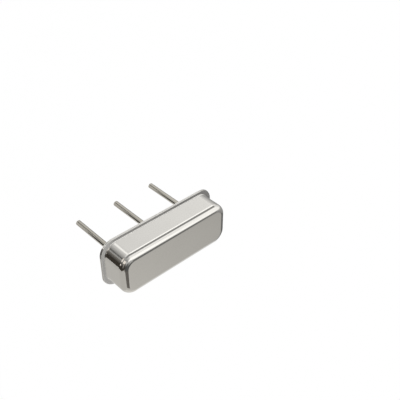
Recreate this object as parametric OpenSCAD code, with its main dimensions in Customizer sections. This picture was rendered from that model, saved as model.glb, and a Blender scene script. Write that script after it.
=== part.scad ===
// Surface acoustic wave filter in a welded metal can with three leads in line.
// The origin is the centre of the header's underside, which seats on a circuit board. +Z runs up
// through the can, +X along the row of leads from input to output, and the leads hang down -Z.

/* [Header] */
// Length of the header over its weld flange
header_l = 11; // [10:0.1:13]
// Width of the header over its weld flange
header_w = 4.38; // [3.8:0.02:5.5]
// Corner radius of the weld flange
header_corner_r = 1.18; // [0.6:0.02:1.5]
// Thickness of the weld flange
header_flange_t = 0.08; // [0.06:0.01:0.2]
// Height of the pedestal's top above the underside
pedestal_z = 0.75; // [0.6:0.05:1]
// Gap between the pedestal and the inside of the cap
pedestal_gap = 0.06; // [0.03:0.01:0.12]

/* [Cap] */
// Overall height of the sealed package above the board
package_h = 2.36; // [2:0.02:3.4]
// Thickness of the cap's drawn sheet
sheet_t = 0.09; // [0.07:0.01:0.2]
// Width of flange that shows beyond the cap's end walls
end_ledge = 0.32; // [0.2:0.01:0.5]
// Width of flange that shows beyond the cap's long walls
side_ledge = 0.3; // [0.16:0.01:0.4]
// How far the cap's flange stops short of the header's
flange_step = 0.03; // [0.01:0.01:0.05]
// Corner radius of the cap's walls
cap_corner_r = 1.14; // [0.9:0.02:1.4]
// Radius of the shoulder between the walls and the top
shoulder_r = 0.55; // [0.25:0.05:0.7]
// Radius of the bend from the wall out into the flange
flare_r = 0.1; // [0.05:0.01:0.12]
// Radius inside the mouth of the cap
mouth_r = 0.06; // [0.03:0.01:0.08]

/* [Leads] */
// Distance between neighbouring leads
lead_pitch = 3.75; // [3.2:0.05:4.2]
// Diameter of a lead
lead_d = 0.45; // [0.35:0.01:0.5]
// Length of a lead below the header
lead_l = 5.55; // [3:0.05:14]
// Height of a bonding post above the pedestal
post_h = 0.4; // [0.25:0.05:0.6]
// Diameter of the flattened head on a bonding post
post_head_d = 0.75; // [0.6:0.05:0.9]
// Thickness of the flattened head on a bonding post
post_head_t = 0.12; // [0.08:0.01:0.2]
// Diameter of the hole that a glass seal fills
seal_d = 0.86; // [0.7:0.02:1.2]
// Depth of the glass below the header's underside
seal_sink = 0.03; // [0.01:0.01:0.08]
// Radius of the hollow meniscus in the glass round a lead
meniscus_r = 0.1; // [0.05:0.01:0.11]
// Diameter of the round pocket that the ground lead is welded into
pocket_d = 1.4; // [1.1:0.05:1.8]
// Depth of the ground lead's pocket
pocket_depth = 0.25; // [0.2:0.01:0.35]
// Diameter of the weld round the foot of the ground lead
weld_d = 0.6; // [0.58:0.02:0.9]
// Height that the weld climbs up the ground lead
weld_h = 0.13; // [0.12:0.01:0.18]

/* [Chip] */
// Width of the piezoelectric chip
chip_w = 1.5; // [1.2:0.05:1.9]
// Thickness of the piezoelectric chip
chip_t = 0.35; // [0.25:0.01:0.5]
// Thickness of the adhesive under the chip
adhesive_t = 0.05; // [0.03:0.01:0.08]
// Width of adhesive squeezed out round the chip
adhesive_rim = 0.1; // [0.05:0.01:0.15]

/* [Electrodes] */
// Thickness of the metal film, drawn far thicker than the real film
film_t = 0.03; // [0.02:0.005:0.05]
// Distance between neighbouring fingers, drawn far coarser than the real one
finger_pitch = 0.1; // [0.08:0.01:0.12]
// Width of one finger
finger_w = 0.05; // [0.04:0.005:0.06]
// Number of fingers in one transducer, both combs together
finger_count = 12; // [8:2:14]
// Number of strips in the coupling grating
coupler_count = 5; // [3:2:7]
// Number of strips in one reflector
reflector_count = 9; // [4:1:10]
// Clear distance between a finger's tip and the facing bus bar
tip_gap = 0.05; // [0.03:0.01:0.08]
// Width of a bus bar
bus_w = 0.1; // [0.06:0.01:0.14]
// Length of a bond pad along the chip
pad_l = 0.4; // [0.25:0.05:0.6]
// Width of a bond pad across the chip
pad_w = 0.18; // [0.14:0.01:0.22]
// Bare border of the chip round the electrodes
chip_border = 0.06; // [0.04:0.01:0.1]

/* [Bond wires] */
// Diameter of a bond wire
wire_d = 0.036; // [0.025:0.001:0.05]
// Diameter of a wire's bonded foot
wire_foot_d = 0.1; // [0.07:0.01:0.13]
// Height of a wire's loop above its upper end
wire_rise = 0.4; // [0.2:0.05:0.5]
// Distance from the adhesive to the foot of a ground wire
ground_foot_gap = 0.35; // [0.15:0.05:0.45]

/* [Hidden] */

// Number of sides that a drawn circle is shown with
round_fn = 48;
// Sides and rings of a bond wire
wire_sides = 8;
wire_rings = 16;

// Which way a row of pieces runs from the ground lead
INPUT = -1;
OUTPUT = 1;

cap_l = header_l - 2 * end_ledge;
cap_w = header_w - 2 * side_ledge;
cap_bore_l = cap_l - 2 * sheet_t;
cap_bore_w = cap_w - 2 * sheet_t;
cap_bore_corner_r = cap_corner_r - sheet_t;
cap_flange_z = header_flange_t + sheet_t;
pedestal_l = cap_bore_l - 2 * pedestal_gap;
pedestal_w = cap_bore_w - 2 * pedestal_gap;
pedestal_corner_r = cap_bore_corner_r - pedestal_gap;

lead_r = lead_d / 2;
seal_r = seal_d / 2;
weld_r = weld_d / 2;
// The weld is a cone that starts inside the wire, halfway to its axis
weld_cone_h = weld_h * (weld_r - lead_r / 2) / (weld_r - lead_r);
post_z = pedestal_z + post_h;
adhesive_z = pedestal_z + adhesive_t;
chip_z = adhesive_z + chip_t;
film_z = chip_z + film_t;

// Across the chip: pad outermost, then bus bar, then the fingers' overlap
pad_outer_y = chip_w / 2 - chip_border;
bus_outer_y = pad_outer_y - pad_w;
bus_inner_y = bus_outer_y - bus_w;
pad_y = (pad_outer_y + bus_outer_y) / 2;
// Along the chip from its middle: coupling grating, transducer, reflector, each a row of strips
// that stands half a pitch further from its neighbour than its own strips do
row_gap = 1.5 * finger_pitch;
coupler_x = -row_l(coupler_count) / 2;
transducer_x = row_l(coupler_count) / 2 + row_gap;
transducer_mid_x = transducer_x + row_l(finger_count) / 2;
reflector_x = transducer_x + row_l(finger_count) + row_gap;
chip_l = 2 * (reflector_x + row_l(reflector_count) + finger_w / 2 + chip_border);
ground_foot_y = chip_w / 2 + adhesive_rim + ground_foot_gap;

// Distance from the first to the last strip of a row, middle to middle
function row_l(count) = (count - 1) * finger_pitch;

// Half-section of a plain plate, from the axis of its corner out to its edge
module plate_section(corner_r, bottom_z, top_z) {
    translate([0, bottom_z])
        square([corner_r, top_z - bottom_z]);
}

// Half-section of a drawn can: flat top, round shoulder, straight wall and a foot that flares out
module can_section(corner_r, foot_z, top_z, round_r, foot_r) {
    plate_section(corner_r, foot_z, top_z - round_r);
    plate_section(corner_r - round_r, foot_z, top_z);
    translate([corner_r - round_r, top_z - round_r])
        circle(round_r, $fn = round_fn);
    difference() {
        translate([corner_r, foot_z])
            square(foot_r);
        translate([corner_r + foot_r, foot_z + foot_r])
            circle(foot_r, $fn = round_fn);
    }
}

// Carries a half-section round a rounded rectangle and fills the middle
module rounded_block(l, w, corner_r, bottom_z, top_z) {
    straight_l = l - 2 * corner_r;
    straight_w = w - 2 * corner_r;
    for (flip_x = [0, 1], flip_y = [0, 1])
        mirror([flip_x, 0, 0])
            mirror([0, flip_y, 0])
                translate([straight_l / 2, straight_w / 2, 0])
                    rotate_extrude(angle = 90, $fn = round_fn)
                        children();
    for (flip_x = [0, 1])
        mirror([flip_x, 0, 0])
            translate([straight_l / 2, straight_w / 2, 0])
                rotate([90, 0, 0])
                    linear_extrude(straight_w)
                        children();
    for (flip_y = [0, 1])
        mirror([0, flip_y, 0])
            translate([-straight_l / 2, straight_w / 2, 0])
                rotate([90, 0, 90])
                    linear_extrude(straight_l)
                        children();
    translate([-straight_l / 2, -straight_w / 2, bottom_z])
        cube([straight_l, straight_w, top_z - bottom_z]);
}

// A plate with rounded corners between two heights
module rounded_plate(l, w, corner_r, bottom_z, top_z) {
    rounded_block(l, w, corner_r, bottom_z, top_z)
        plate_section(corner_r, bottom_z, top_z);
}

// A can with rounded corners, filled solid
module rounded_can(l, w, corner_r, foot_z, top_z, round_r, foot_r) {
    rounded_block(l, w, corner_r, foot_z, top_z)
        can_section(corner_r, foot_z, top_z, round_r, foot_r);
}

// Upright cylinder between two heights
module upright(r, bottom_z, top_z) {
    translate([0, 0, bottom_z])
        cylinder(r = r, h = top_z - bottom_z, $fn = round_fn);
}

// Turns a piece drawn at +X and +Y over to the side and the edge that it belongs to
module flipped(side, edge) {
    mirror([side < 0 ? 1 : 0, 0, 0])
        mirror([0, edge < 0 ? 1 : 0, 0])
            children();
}

// Flat patch of metal film on the chip between two corners
module film(low, high) {
    translate([low.x, low.y, chip_z])
        cube([high.x - low.x, high.y - low.y, film_t]);
}

// One strip of a row that starts at start_x
module strip(start_x, i, low_y, high_y) {
    mid_x = start_x + i * finger_pitch;
    film([mid_x - finger_w / 2, low_y], [mid_x + finger_w / 2, high_y]);
}

// Bar along the ends of a whole row of strips
module bus_bar(start_x, count, low_y, high_y) {
    film([start_x - finger_w / 2, low_y], [start_x + row_l(count) + finger_w / 2, high_y]);
}

// Drawn cap: one sheet with a flat top, round shoulder, straight walls and a weld flange
module cap() {
    color("silver")
        difference() {
            union() {
                rounded_can(
                    cap_l, cap_w, cap_corner_r, cap_flange_z, package_h, shoulder_r, flare_r
                );
                rounded_plate(
                    header_l - 2 * flange_step, header_w - 2 * flange_step,
                    header_corner_r - flange_step, header_flange_t, cap_flange_z
                );
            }
            rounded_can(
                cap_bore_l, cap_bore_w, cap_bore_corner_r, header_flange_t, package_h - sheet_t,
                shoulder_r - sheet_t, mouth_r
            );
        }
}

// Header: weld flange and pedestal in one piece, with two sealed holes and the ground pocket
module header_base() {
    color("gray")
        difference() {
            union() {
                rounded_plate(header_l, header_w, header_corner_r, 0, header_flange_t);
                rounded_plate(pedestal_l, pedestal_w, pedestal_corner_r, 0, pedestal_z);
            }
            for (side = [INPUT, OUTPUT])
                translate([side * lead_pitch, 0, 0])
                    upright(seal_r, 0, pedestal_z);
            upright(pocket_d / 2, 0, pocket_depth);
        }
}

// Glass bead that seals and insulates a signal lead, with a hollow meniscus on both faces
module glass_seal(side) {
    color("black")
        translate([side * lead_pitch, 0, 0])
            difference() {
                upright(seal_r, seal_sink, pedestal_z);
                upright(lead_r, seal_sink, pedestal_z);
                for (face_z = [seal_sink, pedestal_z])
                    translate([0, 0, face_z])
                        rotate_extrude($fn = round_fn)
                            translate([(lead_r + seal_r) / 2, 0])
                                circle(meniscus_r, $fn = round_fn);
            }
}

// Signal lead: a straight wire that ends in a flattened head for the bond wire
module signal_lead(side) {
    color("gainsboro")
        translate([side * lead_pitch, 0, 0]) {
            upright(lead_r, -lead_l, post_z);
            upright(post_head_d / 2, post_z - post_head_t, post_z);
        }
}

// Ground lead: a straight wire with a weld that spreads over the floor of the pocket
module lead_ground() {
    color("gainsboro") {
        upright(lead_r, -lead_l, pocket_depth);
        translate([0, 0, pocket_depth - weld_cone_h])
            cylinder(r1 = lead_r / 2, r2 = weld_r, h = weld_cone_h, $fn = round_fn);
    }
}

// Adhesive bed between the pedestal and the chip
module die_adhesive() {
    color("tan")
        translate([-chip_l / 2 - adhesive_rim, -chip_w / 2 - adhesive_rim, pedestal_z])
            cube([chip_l + 2 * adhesive_rim, chip_w + 2 * adhesive_rim, adhesive_t]);
}

// Piezoelectric chip
module saw_chip() {
    color("lightblue")
        translate([-chip_l / 2, -chip_w / 2, adhesive_z])
            cube([chip_l, chip_w, chip_t]);
}

// One comb of a transducer: bus bar, bond pad and every second finger
module comb(side, edge, first) {
    color("goldenrod")
        flipped(side, edge) {
            bus_bar(transducer_x, finger_count, bus_inner_y, bus_outer_y);
            film(
                [transducer_mid_x - pad_l / 2, bus_inner_y],
                [transducer_mid_x + pad_l / 2, pad_outer_y]
            );
            for (i = [first : 2 : finger_count - 1])
                strip(transducer_x, i, tip_gap - bus_inner_y, bus_outer_y);
        }
}

// Row of strips joined at both ends
module grating(start_x, count) {
    bus_bar(start_x, count, bus_inner_y, bus_outer_y);
    bus_bar(start_x, count, -bus_outer_y, -bus_inner_y);
    for (i = [0 : count - 1])
        strip(start_x, i, -bus_outer_y, bus_outer_y);
}

// Reflector between a transducer and the end of the chip
module reflector(side) {
    color("darkgoldenrod")
        flipped(side, 1)
            grating(reflector_x, reflector_count);
}

// Grating between the two transducers
module coupling_grating() {
    color("darkgoldenrod")
        grating(coupler_x, coupler_count);
}

// Point on a loop whose two ends stand upright
function loop_point(from, to, lift, t) =
    from * pow(1 - t, 3) + (from + lift) * 3 * t * pow(1 - t, 2)
    + (to + lift) * 3 * pow(t, 2) * (1 - t) + to * pow(t, 3);

// Direction of that loop
function loop_run(from, to, lift, t) =
    lift * pow(1 - t, 2) + (to - from) * 2 * t * (1 - t) - lift * pow(t, 2);

function unit(v) = v / norm(v);

// Bond wire: a round loop between two flat feet
module bond_wire(from, to) {
    lift = [0, 0, wire_rise * 4 / 3];
    across = unit(cross([0, 0, 1], to - from));
    points = [
        for (i = [0 : wire_rings])
            let (
                t = i / wire_rings,
                r = (i == 0 || i == wire_rings ? wire_foot_d : wire_d) / 2,
                up = unit(cross(loop_run(from, to, lift, t), across))
            )
                for (k = [0 : wire_sides - 1])
                    let (angle = 360 * k / wire_sides)
                        loop_point(from, to, lift, t) + r * (across * cos(angle) + up * sin(angle))
    ];
    sides = [
        for (i = [0 : wire_rings - 1], k = [0 : wire_sides - 1])
            let (next = (k + 1) % wire_sides)
                [
                    i * wire_sides + k, (i + 1) * wire_sides + k,
                    (i + 1) * wire_sides + next, i * wire_sides + next
                ]
    ];
    first_foot = [for (k = [0 : wire_sides - 1]) k];
    last_foot = [for (k = [wire_sides - 1 : -1 : 0]) wire_rings * wire_sides + k];
    color("white")
        polyhedron(points, concat(sides, [first_foot, last_foot]));
}

// Wire from a signal comb's pad to the head of its lead
module signal_wire(side) {
    bond_wire([side * transducer_mid_x, pad_y, film_z], [side * lead_pitch, 0, post_z]);
}

// Wire from a ground comb's pad down to the pedestal
module ground_wire(side) {
    bond_wire(
        [side * transducer_mid_x, -pad_y, film_z],
        [side * transducer_mid_x, -ground_foot_y, pedestal_z]
    );
}

cap();
header_base();
glass_seal(INPUT);  // glass_seal_input
glass_seal(OUTPUT);  // glass_seal_output
signal_lead(INPUT);  // lead_input
lead_ground();
signal_lead(OUTPUT);  // lead_output
die_adhesive();
saw_chip();
comb(INPUT, 1, 0);  // input_signal_comb
comb(INPUT, -1, 1);  // input_ground_comb
comb(OUTPUT, 1, 0);  // output_signal_comb
comb(OUTPUT, -1, 1);  // output_ground_comb
reflector(INPUT);  // reflector_input_side
reflector(OUTPUT);  // reflector_output_side
coupling_grating();
signal_wire(INPUT);  // bond_wire_input
ground_wire(INPUT);  // bond_wire_input_ground
signal_wire(OUTPUT);  // bond_wire_output
ground_wire(OUTPUT);  // bond_wire_output_ground
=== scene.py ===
"""Dresses a surface acoustic wave filter in a three-lead metal can and sets it in a small studio.

Sizes are in millimetres in the part's own frame: the header's underside is the plane z = 0, the row of
leads runs along X, and the can stands up along Z.
"""

import logging
import math
from dataclasses import dataclass, field
from enum import Enum

import bmesh
import bpy
from mathutils import Matrix, Vector


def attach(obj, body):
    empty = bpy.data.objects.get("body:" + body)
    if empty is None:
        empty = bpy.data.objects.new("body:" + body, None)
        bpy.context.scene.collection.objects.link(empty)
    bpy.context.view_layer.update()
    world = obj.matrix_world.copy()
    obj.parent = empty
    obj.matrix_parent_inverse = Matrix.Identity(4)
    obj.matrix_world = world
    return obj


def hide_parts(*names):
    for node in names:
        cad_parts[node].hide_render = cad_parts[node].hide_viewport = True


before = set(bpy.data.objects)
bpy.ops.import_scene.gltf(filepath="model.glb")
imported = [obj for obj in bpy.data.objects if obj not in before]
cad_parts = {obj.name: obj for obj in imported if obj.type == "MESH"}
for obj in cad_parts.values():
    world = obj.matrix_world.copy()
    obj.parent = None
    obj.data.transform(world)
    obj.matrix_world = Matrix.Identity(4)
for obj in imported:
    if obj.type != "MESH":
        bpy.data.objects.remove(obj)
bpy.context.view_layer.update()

BODY = "root"
LOG = logging.getLogger("saw_filter")

# A millimetre in metres, the unit of the finished meshes.
MM = 0.001

# Steps in a plan's corner, in a full turn and in a screen's sweep.
CORNER_STEPS = 24
TURN_STEPS = 64
SWEEP_STEPS = 32

# Steps in the bends of the cap's foot and shoulder, a small edge and the weld, and across a bead's hollow.
FOOT_STEPS = 8
SHOULDER_STEPS = 24
EDGE_STEPS = 4
WELD_STEPS = 6
HOLLOW_STEPS = 8

# A holding outline keeps the shading of a flat or straight run even beside a bend. It stands off by this
# many of the bend's radii, or at the weld by this many of its heights.
RIM_HOLD = 1.2
SHOULDER_HOLD = 1.4
CUT_HOLD = 3.0
WELD_HOLD = 1.5

# Points closer than this are merged, edges shorter than this go, and bends past this angle stay sharp.
MERGE_GAP = 1e-5
SHORT_EDGE = 1e-6
SHARP_ANGLE = math.radians(35)

# How far the noise in the tone and the grain is broken up, and the part of its range that sets the gloss.
DRIFT_DETAIL = 3.0
GRAIN_DETAIL = 2.0
GRAIN_SPAN = (0.25, 0.75)

Colour = tuple[float, float, float]
Triple = tuple[float, float, float]
Span = tuple[float, float]
Section = list[tuple[float, float]]
Loop = list[bmesh.types.BMEdge]

# Tints of the light.
WHITE: Colour = (1.0, 1.0, 1.0)
WARM: Colour = (1.0, 0.86, 0.72)
DUSK: Colour = (1.0, 0.94, 0.88)
IVORY: Colour = (1.0, 0.985, 0.955)


class End(Enum):
    """Which end of the row of leads a piece belongs to."""

    INPUT = -1
    OUTPUT = 1

    @property
    def word(self) -> str:
        """The end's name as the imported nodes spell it."""
        return self.name.lower()


class Seen(Enum):
    """Which rays of the render meet a stage piece."""

    BY_ALL = "all"
    IN_REFLECTIONS = "reflections"


class Coat(Enum):
    """Which of a stamped piece's finishes a face wears, as the number of its material slot."""

    SHEET = 0
    FACE = 1
    RIM = 2


@dataclass(frozen=True)
class Finish:
    """A surface that drifts between two tones and carries a fine grain.

    Attributes:
        name: Name of the material.
        tones: The two colours that the surface drifts between.
        gloss: Lowest and highest roughness.
        metallic: 1 for bare metal, less under a dull skin, 0 for anything else.
        drift: Size of the blotches along each axis.
        grain: Size of the grains along each axis.
        relief: Height of the grain.
    """

    name: str
    tones: tuple[Colour, Colour]
    gloss: Span
    metallic: float
    drift: Triple
    grain: Triple
    relief: float

    def material(self) -> bpy.types.Material:
        """Builds the material.

        Returns:
            The new material.
        """
        made = bpy.data.materials.new(self.name)
        made.use_nodes = True
        nodes = made.node_tree.nodes
        links = made.node_tree.links
        shader = nodes["Principled BSDF"]
        shader.inputs["Metallic"].default_value = self.metallic
        place = nodes.new("ShaderNodeTexCoord")

        tone = nodes.new("ShaderNodeMix")
        tone.data_type = "RGBA"
        tone.inputs["A"].default_value = (*self.tones[0], 1)
        tone.inputs["B"].default_value = (*self.tones[1], 1)
        links.new(self._blend(made, place), tone.inputs["Factor"])
        links.new(tone.outputs["Result"], shader.inputs["Base Color"])

        grains = self._noise(made, place, self.grain, GRAIN_DETAIL)
        rough = nodes.new("ShaderNodeMapRange")
        rough.inputs["From Min"].default_value = GRAIN_SPAN[0]
        rough.inputs["From Max"].default_value = GRAIN_SPAN[1]
        rough.inputs["To Min"].default_value = self.gloss[0]
        rough.inputs["To Max"].default_value = self.gloss[1]
        links.new(grains.outputs["Fac"], rough.inputs["Value"])
        links.new(rough.outputs["Result"], shader.inputs["Roughness"])

        bump = nodes.new("ShaderNodeBump")
        bump.inputs["Distance"].default_value = self.relief * MM
        links.new(grains.outputs["Fac"], bump.inputs["Height"])
        links.new(bump.outputs["Normal"], shader.inputs["Normal"])
        return made

    def _blend(
        self, made: bpy.types.Material, place: bpy.types.ShaderNode
    ) -> bpy.types.NodeSocket:
        """Finds how far the tone has moved from the first colour to the second.

        Args:
            made: The material.
            place: Its Texture Coordinate node.

        Returns:
            The socket with the share of the second colour.
        """
        return self._noise(made, place, self.drift, DRIFT_DETAIL).outputs["Fac"]

    @staticmethod
    def _noise(
        made: bpy.types.Material, place: bpy.types.ShaderNode, size: Triple, detail: float
    ) -> bpy.types.ShaderNode:
        """Adds a noise pattern of one size to a material.

        Args:
            made: The material.
            place: Its Texture Coordinate node.
            size: Size of the pattern along each axis.
            detail: How much finer noise is laid over it.

        Returns:
            The noise node.
        """
        nodes = made.node_tree.nodes
        links = made.node_tree.links
        spread = nodes.new("ShaderNodeMapping")
        spread.inputs["Scale"].default_value = [1 / (s * MM) for s in size]
        links.new(place.outputs["Object"], spread.inputs["Vector"])
        noise = nodes.new("ShaderNodeTexNoise")
        noise.inputs["Scale"].default_value = 1.0
        noise.inputs["Detail"].default_value = detail
        links.new(spread.outputs["Vector"], noise.inputs["Vector"])
        return noise


@dataclass(frozen=True)
class PaintedShadeFinish(Finish):
    """A finish whose second tone takes over along X, in a slow and a quick change. The change is painted
    shade and light: darker where the first tone holds, lighter where the second takes over.

    Attributes:
        slow: X where the slow change starts and ends.
        quick: X where the quick change starts and ends.
        share: How much of the second tone the slow change brings.
        mottle: How much the blotches still show.
    """

    slow: Span = (0.0, 1.0)
    quick: Span = (0.0, 1.0)
    share: float = 0.3
    mottle: float = 0.2

    def _blend(
        self, made: bpy.types.Material, place: bpy.types.ShaderNode
    ) -> bpy.types.NodeSocket:
        """Lays a little of the blotches over the painted change of shade and light along X.

        Args:
            made: The material.
            place: Its Texture Coordinate node.

        Returns:
            The socket with the share of the second colour.
        """
        nodes = made.node_tree.nodes
        links = made.node_tree.links
        axes = nodes.new("ShaderNodeSeparateXYZ")
        links.new(place.outputs["Object"], axes.inputs["Vector"])
        blotches = nodes.new("ShaderNodeMath")
        blotches.operation = "MULTIPLY"
        links.new(super()._blend(made, place), blotches.inputs[0])
        blotches.inputs[1].default_value = self.mottle
        total = blotches.outputs["Value"]
        for span, part in ((self.slow, self.share), (self.quick, 1 - self.share)):
            change = nodes.new("ShaderNodeMapRange")
            change.interpolation_type = "SMOOTHSTEP"
            change.inputs["From Min"].default_value = span[0] * MM
            change.inputs["From Max"].default_value = span[1] * MM
            change.inputs["To Max"].default_value = part
            links.new(axes.outputs["X"], change.inputs["Value"])
            added = nodes.new("ShaderNodeMath")
            links.new(total, added.inputs[0])
            links.new(change.outputs["Result"], added.inputs[1])
            total = added.outputs["Value"]
        return total


NICKEL_CAP = Finish(
    "bright_nickel_cap", tones=((0.655, 0.64, 0.605), (0.69, 0.675, 0.64)), gloss=(0.07, 0.12),
    metallic=1.0, drift=(1.6, 1.6, 0.9), grain=(0.03, 0.03, 0.25), relief=0.00002,
)
NICKEL_HEADER = Finish(
    "satin_nickel_header", tones=((0.60, 0.585, 0.55), (0.65, 0.635, 0.60)), gloss=(0.12, 0.2),
    metallic=1.0, drift=(1.2, 1.2, 1.2), grain=(0.2, 0.03, 0.03), relief=0.00003,
)
HEADER_FACE = Finish(
    "brushed_header_face", tones=((0.33, 0.325, 0.31), (0.39, 0.385, 0.37)), gloss=(0.22, 0.32),
    metallic=1.0, drift=(2.5, 2.5, 2.5), grain=(0.6, 0.02, 0.02), relief=0.00003,
)
# Dull flange face, darker than the cap. Its change along X is painted shade and light: darkest towards the
# output end, lightest at the input end.
DULL_FLANGE_PAINTED_SHADE = PaintedShadeFinish(
    "dull_flange_painted_shade", tones=((0.2, 0.196, 0.187), (0.48, 0.471, 0.453)), gloss=(0.45, 0.55),
    metallic=0.2, drift=(0.8, 0.8, 0.4), grain=(0.05, 0.05, 0.05), relief=0.00002,
    slow=(4.5, -2.0), quick=(-3.6, -5.2),
)
SHEARED_RIM = Finish(
    "sheared_rim", tones=((0.68, 0.665, 0.63), (0.75, 0.735, 0.70)), gloss=(0.03, 0.06),
    metallic=1.0, drift=(0.7, 0.7, 0.7), grain=(0.05, 0.05, 0.02), relief=0.00001,
)
LEAD_WIRE = Finish(
    "drawn_lead_wire", tones=((0.34, 0.32, 0.275), (0.62, 0.59, 0.525)), gloss=(0.07, 0.12),
    metallic=1.0, drift=(0.09, 0.09, 8.0), grain=(0.02, 0.02, 0.4), relief=0.00002,
)
SEAL_GLASS = Finish(
    "black_seal_glass", tones=((0.004, 0.004, 0.005), (0.012, 0.012, 0.013)), gloss=(0.12, 0.3),
    metallic=0.0, drift=(0.1, 0.1, 0.1), grain=(0.04, 0.04, 0.04), relief=0.0001,
)
DIE_ADHESIVE = Finish(
    "cured_die_adhesive", tones=((0.42, 0.30, 0.16), (0.52, 0.39, 0.22)), gloss=(0.5, 0.7),
    metallic=0.0, drift=(0.3, 0.3, 0.3), grain=(0.04, 0.04, 0.04), relief=0.002,
)
PIEZO_CRYSTAL = Finish(
    "sawn_piezo_crystal", tones=((0.55, 0.60, 0.62), (0.64, 0.68, 0.68)), gloss=(0.08, 0.3),
    metallic=0.0, drift=(0.8, 0.8, 0.8), grain=(0.3, 0.03, 0.02), relief=0.0002,
)
ELECTRODE_FILM = Finish(
    "electrode_film", tones=((0.80, 0.80, 0.79), (0.86, 0.86, 0.85)), gloss=(0.15, 0.3),
    metallic=1.0, drift=(0.4, 0.4, 0.4), grain=(0.02, 0.02, 0.02), relief=0.0001,
)
BOND_WIRE = Finish(
    "bond_wire", tones=((0.82, 0.81, 0.79), (0.88, 0.87, 0.85)), gloss=(0.2, 0.35),
    metallic=1.0, drift=(0.1, 0.1, 0.1), grain=(0.01, 0.01, 0.05), relief=0.0001,
)


@dataclass(frozen=True)
class Plan:
    """A rectangle with round corners, seen from above.

    Attributes:
        length: Size along X.
        width: Size along Y.
        corner: Radius of the corners.
    """

    length: float
    width: float
    corner: float

    def grown(self, by: float) -> "Plan":
        """Moves the outline outwards by a distance, or inwards where it is negative."""
        return Plan(self.length + 2 * by, self.width + 2 * by, self.corner + by)

    def carried(self, point: Vector, plan: "Plan", z: float) -> Vector:
        """Carries a point of a corner over to the same place on another outline.

        Args:
            point: The point.
            plan: The other outline.
            z: Its height.

        Returns:
            The point there.
        """
        side = Vector((math.copysign(1, point.x), math.copysign(1, point.y)))
        outwards = (point.xy - side * self.centre) / self.corner
        return (side * plan.centre + outwards * plan.corner).to_3d() + Vector((0, 0, z))

    @property
    def centre(self) -> Vector:
        """Centre of the corner on the positive sides."""
        return Vector((self.length / 2 - self.corner, self.width / 2 - self.corner))


Station = tuple[Plan, float]


def quarter_turn(radius: float, steps: int) -> Section:
    """Walks a quarter of a circle.

    Args:
        radius: Radius of the circle.
        steps: Number of steps.

    Returns:
        Pairs that start at (0, radius) and end at (radius, 0).
    """
    turns = [math.pi / 2 * i / steps for i in range(steps + 1)]
    return [(radius * math.sin(turn), radius * math.cos(turn)) for turn in turns]


def to_scene(bm: bmesh.types.BMesh, name: str, *materials: bpy.types.Material) -> bpy.types.Object:
    """Makes an object, in metres, of a mesh in millimetres.

    Args:
        bm: The mesh, which is used up.
        name: Name of the object.
        materials: Its materials, in the order of the slots.

    Returns:
        The new object, linked to the scene.
    """
    bmesh.ops.scale(bm, vec=(MM, MM, MM), verts=bm.verts)
    mesh = bpy.data.meshes.new(name)
    bm.to_mesh(mesh)
    bm.free()
    for material in materials:
        mesh.materials.append(material)
    made = bpy.data.objects.new(name, mesh)
    bpy.context.scene.collection.objects.link(made)
    return made


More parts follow.
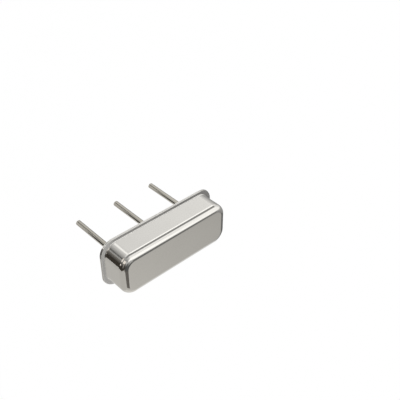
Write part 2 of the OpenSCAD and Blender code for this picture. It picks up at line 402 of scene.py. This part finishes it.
@dataclass
class Workpiece:
    """A mesh being shaped in millimetres.

    Attributes:
        bm: The mesh.
        flats: The filled faces, which are level and shaded flat.
    """

    bm: bmesh.types.BMesh = field(default_factory=bmesh.new)
    flats: set[bmesh.types.BMFace] = field(default_factory=set)

    def plate(self, plan: Plan, z: float) -> bmesh.types.BMFace:
        """Lays a flat face with round corners.

        Args:
            plan: Its outline.
            z: Its height.

        Returns:
            The face.
        """
        corners = bmesh.ops.create_grid(self.bm, x_segments=1, y_segments=1, size=0.5)["verts"]
        bmesh.ops.scale(self.bm, vec=(plan.length, plan.width, 1), verts=corners)
        bmesh.ops.translate(self.bm, vec=(0, 0, z), verts=corners)
        made = bmesh.ops.bevel(
            self.bm, geom=corners, offset=plan.corner, offset_type="OFFSET", affect="VERTICES",
            segments=CORNER_STEPS, profile=0.5, material=-1,
        )
        return made["verts"][0].link_faces[0]

    def outline(self, plan: Plan, z: float) -> Loop:
        """Draws the outline of a plate and no face.

        Args:
            plan: The outline.
            z: Its height.

        Returns:
            The edges, in no order.
        """
        face = self.plate(plan, z)
        border = list(face.edges)
        bmesh.ops.delete(self.bm, geom=[face], context="FACES_ONLY")
        return border

    def loft(self, stations: list[Station]) -> tuple[Loop, Loop]:
        """Draws the first outline out through all the others.

        Args:
            stations: The outlines and their heights.

        Returns:
            The edges of the first outline, and of the last.
        """
        here, z = stations[0]
        first = border = self.outline(here, z)
        for plan, z in stations[1:]:
            made = bmesh.ops.extrude_edge_only(self.bm, edges=border)["geom"]
            border = [part for part in made if isinstance(part, bmesh.types.BMEdge)]
            border = [edge for edge in border if len(edge.link_faces) == 1]
            for vert in {vert for edge in border for vert in edge.verts}:
                vert.co = here.carried(vert.co, plan, z)
            here = plan
        return first, border

    def ring(self, centre: Vector, radius: float) -> Loop:
        """Draws a level circle.

        Args:
            centre: Its centre.
            radius: Its radius.

        Returns:
            Its edges.
        """
        made = bmesh.ops.create_circle(
            self.bm, radius=radius, segments=TURN_STEPS, matrix=Matrix.Translation(centre)
        )
        return list({edge for vert in made["verts"] for edge in vert.link_edges})

    def bridge(self, *loops: Loop) -> None:
        """Joins each closed loop to the next with a band of faces.

        Args:
            loops: The loops' edges.
        """
        for near, far in zip(loops, loops[1:]):
            bmesh.ops.bridge_loops(self.bm, edges=near + far)

    def fill(self, *loops: Loop) -> None:
        """Fills a level outline, round any holes in it.

        Args:
            loops: The edges of the outline and of the holes.
        """
        edges = [edge for loop in loops for edge in loop]
        made = bmesh.ops.triangle_fill(self.bm, edges=edges, use_beauty=True)["geom"]
        self.flats.update(part for part in made if isinstance(part, bmesh.types.BMFace))

    def turn(self, section: Section, axis_x: float) -> None:
        """Turns a section round an upright axis.

        Args:
            section: Points of the section, each a radius and a height.
            axis_x: Where the axis stands along X.
        """
        points = [self.bm.verts.new((axis_x + radius, 0, z)) for radius, z in section]
        runs = [self.bm.edges.new(pair) for pair in zip(points, points[1:])]
        bmesh.ops.spin(
            self.bm, geom=points + runs, cent=(axis_x, 0, 0), axis=(0, 0, 1),
            angle=math.tau, steps=TURN_STEPS, use_merge=True,
        )
        self.close()

    def close(self) -> None:
        """Merges what coincides and points the faces outwards."""
        bmesh.ops.remove_doubles(self.bm, verts=self.bm.verts, dist=MERGE_GAP)
        bmesh.ops.dissolve_degenerate(self.bm, edges=self.bm.edges, dist=SHORT_EDGE)
        bmesh.ops.recalc_face_normals(self.bm, faces=self.bm.faces)

    def repaint(self, coat: Coat, low: float, high: float) -> None:
        """Gives the faces between two heights another of the piece's finishes.

        Args:
            coat: The finish.
            low: The lower height.
            high: The upper height.
        """
        for face in self.bm.faces:
            if low < face.calc_center_median().z < high:
                face.material_index = coat.value

    def finish(self, name: str, *finishes: Finish) -> bpy.types.Object:
        """Shades the mesh and makes its object.

        Args:
            name: Name of the object.
            finishes: Its finishes, in the order of the material slots.

        Returns:
            The new object, linked to the scene.
        """
        for edge in self.bm.edges:
            edge.smooth = len(edge.link_faces) != 2 or edge.calc_face_angle() < SHARP_ANGLE
        for face in self.bm.faces:
            face.smooth = face not in self.flats
        made = to_scene(self.bm, name, *(finish.material() for finish in finishes))
        flats = made.modifiers.new("level_flats", "WEIGHTED_NORMAL")
        flats.keep_sharp = True
        return made


def stand_in(piece: bpy.types.Object, node: str) -> None:
    """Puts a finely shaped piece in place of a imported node, keeps it out of reflections and reports it.

    Args:
        piece: The piece.
        node: The node that it replaces.
    """
    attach(piece, BODY)
    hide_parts(node)
    piece.visible_glossy = False
    LOG.info("%s: %d faces, replaces %s", piece.name, len(piece.data.polygons), node)


def plate_rim(plan: Plan, low: float, top: float, radius: float) -> list[Station]:
    """Walks round the edge of a plate, from its underside to its upper side.

    Args:
        plan: The plate's outline.
        low: Height of the underside.
        top: Height of the upper side.
        radius: Radius of its two rounded edges.

    Returns:
        The outlines.
    """
    bends = quarter_turn(radius, EDGE_STEPS)
    under = [(plan.grown(out - radius), low + radius - up) for out, up in bends]
    over = [(plan.grown(up - radius), top - radius + out) for out, up in bends]
    hold = RIM_HOLD * radius
    return [*under, (plan, low + hold), (plan, top - hold), *over]


def wall_and_shoulder(
    plan: Plan, low: float, top: float, foot_r: float, shoulder_r: float
) -> list[Station]:
    """Walks up a drawn wall, from its flared foot over its shoulder.

    Args:
        plan: Outline of the wall.
        low: Height of the foot.
        top: Height of the top.
        foot_r: Radius of the flare at the foot.
        shoulder_r: Radius of the shoulder.

    Returns:
        The outlines.
    """
    foot = [
        (plan.grown(foot_r - out), low + foot_r - up)
        for out, up in quarter_turn(foot_r, FOOT_STEPS)
    ]
    shoulder = [
        (plan.grown(up - shoulder_r), top - shoulder_r + out)
        for out, up in quarter_turn(shoulder_r, SHOULDER_STEPS)
    ]
    return [*foot, *shoulder, (plan.grown(-SHOULDER_HOLD * shoulder_r), top)]


@dataclass
class Cap:
    """The drawn cap: one sheet with a flat top, round shoulders, straight walls and a weld flange.

    Attributes:
        flange: Outline of the weld flange.
        walls: Outline of the walls outside.
        flange_low: Height of the flange's underside.
        flange_top: Height of its upper side.
        top: Height of the can.
        shoulder_r: Radius of the shoulder outside.
        flare_r: Radius of the flare at the walls' foot outside.
        mouth_r: Radius of the flare inside.
        rim_r: Radius of the flange's two edges.
        painted_shade_reach: How far the dull flange finish runs up the flare, as painted shade in the
            crease at the walls' foot.
    """

    flange: Plan = Plan(10.94, 4.32, 1.15)
    walls: Plan = Plan(10.36, 3.78, 1.14)
    flange_low: float = 0.08
    flange_top: float = 0.17
    top: float = 2.36
    shoulder_r: float = 0.55
    flare_r: float = 0.10
    mouth_r: float = 0.06
    rim_r: float = 0.012
    painted_shade_reach: float = 0.0125

    def build(self) -> bpy.types.Object:
        """Joins the outlines of the bore, the flange and the outside in one sheet.

        Returns:
            The cap.
        """
        sheet = self.flange_top - self.flange_low
        bore = wall_and_shoulder(
            self.walls.grown(-sheet), self.flange_low, self.top - sheet,
            self.mouth_r, self.shoulder_r - sheet,
        )
        edge = plate_rim(self.flange, self.flange_low, self.flange_top, self.rim_r)
        outside = wall_and_shoulder(
            self.walls, self.flange_top, self.top, self.flare_r, self.shoulder_r
        )
        work = Workpiece()
        roof, top = work.loft(bore[::-1] + edge + outside)
        work.fill(roof)
        work.fill(top)
        work.close()
        # The flange face and the foot of the flare take the dull flange finish; up the flare it is painted
        # shade in the crease.
        work.repaint(Coat.FACE, self.flange_top - self.rim_r / 2, self.flange_top + self.painted_shade_reach)
        work.repaint(Coat.RIM, self.flange_low, self.flange_top - self.rim_r)
        return work.finish("cap_shell", NICKEL_CAP, DULL_FLANGE_PAINTED_SHADE, SHEARED_RIM)

    def dress(self, piece: bpy.types.Object) -> None:
        """Puts the cap in place of its node."""
        stand_in(piece, "cap")


@dataclass
class Header:
    """The header: weld flange and pedestal, two sealed holes and the ground lead's pocket.

    Attributes:
        flange: Outline of the weld flange.
        pedestal: Outline of the pedestal inside the cap.
        flange_top: Height of the flange's upper side.
        top: Height of the pedestal.
        lead_pitch: Distance from one lead to the next.
        seal_r: Radius of the sealed holes.
        pocket_r: Radius of the pocket.
        pocket_depth: Depth of the pocket.
        hole_round: Radius of the rounded mouths in the underside.
        rim_r: Radius of the flange's two edges.
    """

    flange: Plan = Plan(11.0, 4.38, 1.18)
    pedestal: Plan = Plan(10.06, 3.48, 0.99)
    flange_top: float = 0.08
    top: float = 0.75
    lead_pitch: float = 3.75
    seal_r: float = 0.43
    pocket_r: float = 0.70
    pocket_depth: float = 0.25
    hole_round: float = 0.025
    rim_r: float = 0.012

    def build(self) -> bpy.types.Object:
        """Raises the flange and the pedestal, then opens the holes.

        Returns:
            The header.
        """
        work = Workpiece()
        base, crown = work.loft(
            plate_rim(self.flange, 0, self.flange_top, self.rim_r)
            + [(self.pedestal, self.flange_top), (self.pedestal, self.top)]
        )
        mouths = []
        exits = []
        for end in End:
            axis = Vector((end.value * self.lead_pitch, 0, 0))
            mouth, throat = self._mouth(work, axis, self.seal_r)
            above = work.ring(axis + Vector((0, 0, self.top)), self.seal_r)
            work.bridge(throat, above)
            mouths.append(mouth)
            exits.append(above)
        mouth, throat = self._mouth(work, Vector(), self.pocket_r)
        floor = work.ring(Vector((0, 0, self.pocket_depth)), self.pocket_r)
        work.bridge(throat, floor)
        work.fill(floor)
        work.fill(base, *mouths, mouth)
        work.fill(crown, *exits)
        work.close()
        work.repaint(Coat.FACE, -self.rim_r, self.rim_r / 2)
        work.repaint(Coat.RIM, self.rim_r, self.flange_top)
        return work.finish("header_plate", NICKEL_HEADER, HEADER_FACE, SHEARED_RIM)

    def _mouth(self, work: Workpiece, axis: Vector, radius: float) -> tuple[Loop, Loop]:
        """Rounds the mouth of a hole in the underside.

        Args:
            work: The header's mesh.
            axis: Centre of the hole in the underside.
            radius: Radius of the hole.

        Returns:
            The outer edge of the mouth, and the start of the hole's wall.
        """
        bend = quarter_turn(self.hole_round, EDGE_STEPS)
        loops = [
            work.ring(axis + Vector((0, 0, self.hole_round - up)), radius + self.hole_round - out)
            for out, up in bend
        ]
        work.bridge(*loops)
        return loops[0], loops[-1]

    def dress(self, piece: bpy.types.Object) -> None:
        """Puts the header in place of its node."""
        stand_in(piece, "header_base")


@dataclass
class GlassSeal:
    """The glass bead round a signal lead, hollow on both faces.

    Attributes:
        end: Which signal lead it seals.
        lead_pitch: Distance from the middle lead.
        lead_r: Radius of the lead.
        outer_r: Radius of the bead.
        low: Height of its lower face.
        top: Height of its upper face.
        hollow: Depth of the hollow in each face.
    """

    end: End
    lead_pitch: float = 3.75
    lead_r: float = 0.225
    outer_r: float = 0.43
    low: float = 0.03
    top: float = 0.75
    hollow: float = 0.06

    def build(self) -> bpy.types.Object:
        """Turns the bead's section round the lead.

        Returns:
            The bead.
        """
        shares = [i / HOLLOW_STEPS for i in range(HOLLOW_STEPS + 1)]
        wall = self.outer_r - self.lead_r
        dip = [
            (self.lead_r + wall * share, self.hollow * math.sin(math.pi * share))
            for share in shares
        ]
        under = [(radius, self.low + depth) for radius, depth in dip]
        over = [(radius, self.top - depth) for radius, depth in reversed(dip)]
        work = Workpiece()
        work.turn(under + over + under[:1], self.end.value * self.lead_pitch)
        return work.finish(f"glass_bead_{self.end.word}", SEAL_GLASS)

    def dress(self, piece: bpy.types.Object) -> None:
        """Puts the bead in place of its node."""
        stand_in(piece, f"glass_seal_{self.end.word}")


def wire_end(radius: float, tip: float, rounding: float) -> Section:
    """Walks over the cut end of a lead.

    Args:
        radius: Radius of the lead.
        tip: Height of the cut.
        rounding: Radius of the cut's edge.

    Returns:
        Points of the section, each a radius and a height.
    """
    bend = [
        (radius - rounding + out, tip + rounding - up)
        for out, up in quarter_turn(rounding, EDGE_STEPS)
    ]
    return [(0, tip), *bend, (radius, tip + CUT_HOLD * rounding)]


@dataclass
class SignalLead:
    """A straight wire that ends in a flattened head inside the can.

    Attributes:
        end: Which signal lead it is.
        lead_pitch: Distance from the middle lead.
        radius: Radius of the wire.
        tip: Height of the cut end.
        top: Height of the head.
        head_r: Radius of the head.
        head_t: Thickness of the head.
        tip_round: Size of the softened edges.
    """

    end: End
    lead_pitch: float = 3.75
    radius: float = 0.225
    tip: float = -5.55
    top: float = 1.15
    head_r: float = 0.375
    head_t: float = 0.12
    tip_round: float = 0.02

    def build(self) -> bpy.types.Object:
        """Turns the wire and its head in one piece.

        Returns:
            The lead.
        """
        neck = self.top - self.head_t
        head = [
            (self.head_r, neck), (self.head_r, self.top - self.tip_round),
            (self.head_r - self.tip_round, self.top), (0, self.top),
        ]
        work = Workpiece()
        work.turn(
            [*wire_end(self.radius, self.tip, self.tip_round), (self.radius, neck), *head],
            self.end.value * self.lead_pitch,
        )
        return work.finish(f"wire_{self.end.word}", LEAD_WIRE)

    def dress(self, piece: bpy.types.Object) -> None:
        """Puts the lead in place of its node."""
        stand_in(piece, f"lead_{self.end.word}")


@dataclass
class GroundLead:
    """A straight wire with a weld that spreads over the floor of the header's pocket.

    Attributes:
        radius: Radius of the wire.
        tip: Height of the cut end.
        top: Height of the pocket's floor.
        weld_r: Radius of the weld on the floor.
        weld_h: Height of the weld.
        tip_round: Size of the cut's softened edge.
    """

    radius: float = 0.225
    tip: float = -5.55
    top: float = 0.25
    weld_r: float = 0.30
    weld_h: float = 0.13
    tip_round: float = 0.02

    def build(self) -> bpy.types.Object:
        """Turns the wire and its weld in one piece.

        Returns:
            The lead.
        """
        spread = self.weld_r - self.radius
        weld = [
            (self.radius + spread * (1 - up), self.top - self.weld_h * (1 - out))
            for out, up in quarter_turn(1.0, WELD_STEPS)
        ]
        work = Workpiece()
        below = (self.radius, self.top - WELD_HOLD * self.weld_h)
        cut = wire_end(self.radius, self.tip, self.tip_round)
        work.turn([*cut, below, *weld, (0, self.top)], 0)
        return work.finish("wire_ground", LEAD_WIRE)

    def dress(self, piece: bpy.types.Object) -> None:
        """Puts the lead in place of its node."""
        stand_in(piece, "lead_ground")


@dataclass
class ChipAssembly:
    """The sealed inner pieces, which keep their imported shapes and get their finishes.

    Attributes:
        finishes: Each finish, with the nodes that wear it.
    """

    finishes: dict[Finish, tuple[str, ...]] = field(default_factory=lambda: {
        DIE_ADHESIVE: ("die_adhesive",),
        PIEZO_CRYSTAL: ("saw_chip",),
        ELECTRODE_FILM: (
            "input_signal_comb", "input_ground_comb", "output_signal_comb", "output_ground_comb",
            "reflector_input_side", "reflector_output_side", "coupling_grating",
        ),
        BOND_WIRE: (
            "bond_wire_input", "bond_wire_input_ground", "bond_wire_output", "bond_wire_output_ground",
        ),
    })

    def dress(self) -> None:
        """Gives each node its material, keeps it out of reflections and reports it."""
        for finish, names in self.finishes.items():
            material = finish.material()
            for name in names:
                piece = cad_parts[name]
                piece.data.materials.clear()
                piece.data.materials.append(material)
                piece.visible_glossy = False
                LOG.info("%s: %s", name, finish.name)


@dataclass(frozen=True)
class Shine:
    """The light of a studio panel, which changes evenly from one azimuth to another.

    Attributes:
        levels: Brightness at the start and at the end.
        azimuths: Where the change starts and ends, in degrees from +X towards +Y.
        tint: Its colour.
    """

    levels: Span
    azimuths: Span = (0.0, 360.0)
    tint: Colour = WHITE

    def material(self, name: str) -> bpy.types.Material:
        """Builds the light.

        Args:
            name: Name of the material.

        Returns:
            The material.
        """
        made = bpy.data.materials.new(name)
        made.use_nodes = True
        nodes = made.node_tree.nodes
        links = made.node_tree.links
        nodes.remove(nodes["Principled BSDF"])
        middle = math.radians(sum(self.azimuths) / 2)
        half = math.radians(self.azimuths[1] - self.azimuths[0]) / 2
        place = nodes.new("ShaderNodeTexCoord")
        turned = nodes.new("ShaderNodeMapping")
        turned.inputs["Rotation"].default_value = (0, 0, -middle)
        links.new(place.outputs["Object"], turned.inputs["Vector"])
        axes = nodes.new("ShaderNodeSeparateXYZ")
        links.new(turned.outputs["Vector"], axes.inputs["Vector"])
        azimuth = nodes.new("ShaderNodeMath")
        azimuth.operation = "ARCTAN2"
        links.new(axes.outputs["Y"], azimuth.inputs[0])
        links.new(axes.outputs["X"], azimuth.inputs[1])
        ramp = nodes.new("ShaderNodeMapRange")
        ramp.inputs["From Min"].default_value = -half
        ramp.inputs["From Max"].default_value = half
        ramp.inputs["To Min"].default_value = self.levels[0]
        ramp.inputs["To Max"].default_value = self.levels[1]
        links.new(azimuth.outputs["Value"], ramp.inputs["Value"])
        light = nodes.new("ShaderNodeEmission")
        light.inputs["Color"].default_value = (*self.tint, 1)
        links.new(ramp.outputs["Result"], light.inputs["Strength"])
        links.new(light.outputs["Emission"], nodes["Material Output"].inputs["Surface"])
        return made


@dataclass(frozen=True)
class Screen:
    """An upright screen that curves round the part.

    Attributes:
        name: Name of the object.
        azimuths: Where it starts and ends, in degrees from +X towards +Y.
        heights: Its lower and upper edge.
        levels: Brightness at its start and at its end.
        radius: Distance from the part's middle.
        tint: Its colour.
        drop: How much lower its end hangs than its start.
    """

    name: str
    azimuths: Span
    heights: Span
    levels: Span
    radius: float = 50.0
    tint: Colour = WHITE
    drop: float = 0.0

    def build(self) -> bpy.types.Object:
        """Sweeps the screen's upright edge round the part.

        Returns:
            The screen.
        """
        start, end = (math.radians(azimuth) for azimuth in self.azimuths)
        foot = (self.radius * math.cos(start), self.radius * math.sin(start))
        bm = bmesh.new()
        ends = [bm.verts.new((*foot, z)) for z in self.heights]
        bmesh.ops.spin(
            bm, geom=[*ends, bm.edges.new(ends)], cent=(0, 0, 0), axis=(0, 0, 1),
            dvec=(0, 0, -self.drop / SWEEP_STEPS), angle=end - start, steps=SWEEP_STEPS,
        )
        shine = Shine(self.levels, self.azimuths, self.tint)
        return to_scene(bm, self.name, shine.material(self.name))


@dataclass(frozen=True)
class Ceiling:
    """A level sheet above the part.

    Attributes:
        name: Name of the object.
        low: Its lowest X and Y.
        high: Its highest X and Y.
        level: Brightness.
        z: Its height.
    """

    name: str
    low: Span
    high: Span
    level: float
    z: float = 60.0

    def build(self) -> bpy.types.Object:
        """Hangs the sheet.

        Returns:
            The sheet.
        """
        low = Vector((*self.low, self.z))
        high = Vector((*self.high, self.z))
        bm = bmesh.new()
        bmesh.ops.create_grid(bm, x_segments=1, y_segments=1, size=0.5)
        bmesh.ops.scale(bm, vec=(*(high - low).xy, 1), verts=bm.verts)
        bmesh.ops.translate(bm, vec=(low + high) / 2, verts=bm.verts)
        shine = Shine((self.level, self.level))
        return to_scene(bm, self.name, shine.material(self.name))


@dataclass(frozen=True)
class PaleFloor:
    """A pale floor that shows white and keeps a soft shadow.

    Attributes:
        name: Name of the material.
        tone: How pale its surface is; a glow that only cameras, gloss and glass see makes up the rest.
    """

    name: str = "pale_floor"
    tone: float = 0.8

    def material(self) -> bpy.types.Material:
        """Builds the material.

        Returns:
            The new material.
        """
        made = bpy.data.materials.new(self.name)
        made.use_nodes = True
        nodes = made.node_tree.nodes
        links = made.node_tree.links
        nodes.remove(nodes["Principled BSDF"])
        matt = nodes.new("ShaderNodeBsdfDiffuse")
        matt.inputs["Color"].default_value = (self.tone, self.tone, self.tone, 1)
        path = nodes.new("ShaderNodeLightPath")
        seen = path.outputs["Is Camera Ray"]
        for ray in ("Is Glossy Ray", "Is Transmission Ray"):
            either = nodes.new("ShaderNodeMath")
            either.operation = "ADD"
            links.new(seen, either.inputs[0])
            links.new(path.outputs[ray], either.inputs[1])
            seen = either.outputs["Value"]
        amount = nodes.new("ShaderNodeMapRange")
        amount.inputs["To Max"].default_value = 1 - self.tone
        links.new(seen, amount.inputs["Value"])
        glow = nodes.new("ShaderNodeEmission")
        links.new(amount.outputs["Result"], glow.inputs["Strength"])
        both = nodes.new("ShaderNodeAddShader")
        links.new(matt.outputs["BSDF"], both.inputs[0])
        links.new(glow.outputs["Emission"], both.inputs[1])
        links.new(both.outputs["Shader"], nodes["Material Output"].inputs["Surface"])
        return made


@dataclass
class Studio:
    """The pale floor, the even light, the panels that the metal reflects, and the camera.

    Attributes:
        floor_z: Height of the floor.
        floor_size: Length of its sides.
        floor: Its finish.
        eye: Where the camera stands.
        eye_right: Its direction to the right.
        eye_up: Its direction upwards.
        lens: Its focal length.
        sensor: Width of its sensor.
        sight: The nearest and the farthest that it sees.
        panels: The panels, which only reflections show.
    """

    floor_z: float = -80.0
    floor_size: float = 3000.0
    floor: PaleFloor = PaleFloor()
    eye: Triple = (-23.151, 32.331, 29.638)
    eye_right: Triple = (0.73332, 0.00438, 0.67987)
    eye_up: Triple = (0.41195, 0.79266, -0.44944)
    lens: float = 56.34
    sensor: float = 36.0
    sight: Span = (1.0, 10000.0)
    panels: tuple[Screen | Ceiling, ...] = (
        # Overhead: the top, and the front of the shoulder.
        Ceiling("ceiling_dark", (-60, -60), (-22, 10), 0.09),
        Ceiling("ceiling_beige", (-60, -2), (-30, 10), 0.3, 59.5),
        Ceiling("ceiling_shade", (-22, -60), (15, -14), 0.12),
        Ceiling("ceiling_dim", (-22, -14), (-16, 6), 0.16),
        Ceiling("ceiling_rise", (-16, -14), (-12, 6), 0.21),
        Ceiling("ceiling_half", (-12, -14), (-8.5, 6), 0.28),
        Ceiling("ceiling_near", (-8.5, -14), (-5, 6), 0.37),
        Ceiling("ceiling_full", (-5, -14), (-1.5, 12), 0.46),
        Ceiling("ceiling_edge", (-22, 6), (-5, 12), 0.5),
        Ceiling("ceiling_soft", (-1.5, -14), (15, 12), 0.55),
        Ceiling("ceiling_grey", (15, -60), (60, -2), 0.2),
        Ceiling("ceiling_mid", (15, -2), (60, 8), 0.8),
        Ceiling("ceiling_bright", (-20, 8), (60, 60), 1.5, 60.5),
        Ceiling("ceiling_left", (-60, 10), (-20, 60), 0.6),
        Ceiling("ceiling_turn", (-20, 8), (2, 20), 0.65),
        # Behind the long wall: the wall, and the lines along its shoulder.
        Screen("right_low", (-5, 42), (-79, -8), (0.38, 0.98)),
        Screen("right_glow", (18, 42), (-25, -14), (1.0, 1.3), 49.5),
        Screen("right_fade", (-9, 5), (-8, 50), (0.4, 0.95)),
        Screen("right_bright", (5, 52), (10, 62), (1.3, 1.35)),
        Screen("back_low", (42, 81), (-79, -28), (1.05, 0.86)),
        Screen("back_glow", (42, 81), (-28, -5), (1.45, 1.55), 49.5),
        Screen("back_soft", (52, 112), (15, 30), (1.28, 1.1)),
        Screen("back_bright", (52, 112), (30, 46), (1.15, 1.15)),
        Screen("back_top", (52, 112), (46, 62), (1.5, 1.3)),
        # Round the near corner: its pale and black streaks, and the sparks above them.
        Screen("corner_glow", (80, 97), (-79, -5), (1.0, 1.0), 49.5),
        Screen("corner_line", (83, 95), (-36.2, -20), (1.3, 1.3), 49.2),
        Screen("corner_turn", (96, 116), (-28, -13), (1.2, 0.85), 49.2),
        Screen("horizon_strip", (42, 112), (-9, 13), (0.33, 0.33), 49.0),
        Screen("horizon_end", (112, 128), (-9, 13), (0.38, 0.5), 49.0),
        Screen("left_grey", (97, 134), (-37.5, 62), (0.88, 0.3), 49.5),
        Screen("left_mid", (134, 154), (-26, 40), (0.6, 0.5)),
        Screen("left_spark", (135, 156), (5, 36), (1.15, 1.15), 48.5, DUSK),
        Screen("left_streak", (128, 153), (-26, -8), (1.05, 1.1), 48.5, DUSK),
        Screen("left_gap", (128, 159), (-6, 2), (0.4, 0.2), 48.5),
        Screen("left_tail", (156, 190), (18, 36), (0.45, 0.15), 48.5, DUSK),
        Screen("low_spark", (167, 177), (-18, -7), (1.35, 1.35), 48.5, DUSK),
        Screen("black_tail", (203, 209), (0, 45), (0.1, 0.1), 49.5, WARM),
        Screen("left_line", (131.5, 141.5), (-35.6, -26), (0.15, 0.15), 48.0),
        Screen("left_pale", (141.5, 151), (-35.6, -26), (0.4, 0.4), 48.0),
        Screen("black_fade", (151, 173), (-37.5, 62), (0.24, 0.06), 49.0, DUSK),
        Screen("black", (173, 203), (-37.5, 62), (0.05, 0.05), 50.0, WARM),
        # Low strips: the flanges' rims and the leads.
        Screen("rim_spark", (128, 159), (-37.8, -36.6), (1.3, 1.3), 48.9, drop=-0.85),
        Screen("rim_black", (198, 233), (-37.7, -36.25), (0.02, 0.02), 48.9, WARM, 1.8),
        Screen("lead_pale", (98, 138), (-65.3, -55), (0.8, 0.74), 75.0),
        Screen("lead_turn", (138, 152), (-67.3, -55), (0.62, 0.2), 75.0),
        Screen("lead_black", (152, 203), (-67.3, -55), (0.02, 0.02), 75.0),
        Screen("lead_rim", (203, 262), (-45.2, -39.2), (0.9, 0.9), 49.0),
        Screen("tip_shade", (98, 106), (-90, -65.3), (0.7, 0.4), 75.0),
        Screen("tip_line", (106, 127), (-90, -65.3), (0.1, 0.1), 75.0),
        Screen("tip_pale", (127, 205), (-90, -67.3), (0.8, 0.9), 75.0),
        # Beside the near end and in front.
        Screen("end_grey", (205, 288), (-79, 41), (0.6, 0.68), 50.0, IVORY),
        Screen("end_edge", (246, 288), (-14, 22), (0.8, 0.85), 49.5, IVORY),
        Screen("end_dark", (205, 285), (41, 62), (0.16, 0.16), 50.0, DUSK),
        Screen("front_edge", (288, 315), (-79, 22), (0.9, 0.8)),
        Screen("front_turn", (306, 318), (-79, 27), (0.6, 0.2), 49.5),
        Screen("front_shade", (318, 330), (-79, 28), (0.16, 0.16), 49.5),
        Screen("front_grey", (288, 326), (22, 62), (0.68, 0.48), 50.5, IVORY),
        Screen("far_dark", (326, 355), (-79, 62), (0.3, 0.45)),
    )

    def build(self) -> None:
        """Sets up the floor, the light, the panels and the camera."""
        floor = self._floor()
        self._limit(floor, Seen.BY_ALL)
        for panel in self.panels:
            made = panel.build()
            self._limit(made, Seen.IN_REFLECTIONS)
            LOG.info("%s: studio panel", made.name)
        self._light()
        self._camera()

    @staticmethod
    def _limit(piece: bpy.types.Object, seen: Seen) -> None:
        """Sets which rays meet a stage piece.

        Args:
            piece: The stage piece.
            seen: The rays.
        """
        everywhere = seen is Seen.BY_ALL
        piece.visible_camera = everywhere
        piece.visible_diffuse = everywhere
        piece.visible_shadow = everywhere
        piece.visible_transmission = everywhere
        piece.visible_volume_scatter = everywhere

    def _floor(self) -> bpy.types.Object:
        """Lays the floor.

        Returns:
            The floor.
        """
        bm = bmesh.new()
        bmesh.ops.create_grid(bm, x_segments=1, y_segments=1, size=self.floor_size / 2)
        bmesh.ops.translate(bm, vec=(0, 0, self.floor_z), verts=bm.verts)
        return to_scene(bm, "floor", self.floor.material())

    @staticmethod
    def _light() -> None:
        """Lights everything evenly from all round, and shows colours as they are written."""
        world = bpy.data.worlds.new("soft_studio")
        world.use_nodes = True
        sky = world.node_tree.nodes["Background"]
        sky.inputs["Color"].default_value = (1, 1, 1, 1)
        sky.inputs["Strength"].default_value = 1.0
        scene = bpy.context.scene
        scene.world = world
        scene.view_settings.view_transform = "Standard"

    def _camera(self) -> None:
        """Sets the camera up where the photograph was taken from."""
        lens = bpy.data.cameras.new("camera")
        lens.lens = self.lens
        lens.sensor_width = self.sensor
        lens.clip_start = self.sight[0] * MM
        lens.clip_end = self.sight[1] * MM
        made = bpy.data.objects.new("camera", lens)
        right = Vector(self.eye_right).normalized()
        back = right.cross(Vector(self.eye_up)).normalized()
        turn = Matrix((right, back.cross(right), back)).transposed().to_4x4()
        made.matrix_world = Matrix.Translation(Vector(self.eye) * MM) @ turn
        bpy.context.scene.collection.objects.link(made)
        bpy.context.scene.camera = made


def main() -> None:
    """Builds the studio, then dresses the part piece by piece."""
    logging.basicConfig(level=logging.INFO, format="%(name)s %(message)s")
    Studio().build()
    parts: list[Cap | Header | GroundLead | GlassSeal | SignalLead] = [Cap(), Header(), GroundLead()]
    parts += [kind(end) for end in End for kind in (GlassSeal, SignalLead)]
    for part in parts:
        part.dress(part.build())
    ChipAssembly().dress()


if __name__ == "__main__":
    main()
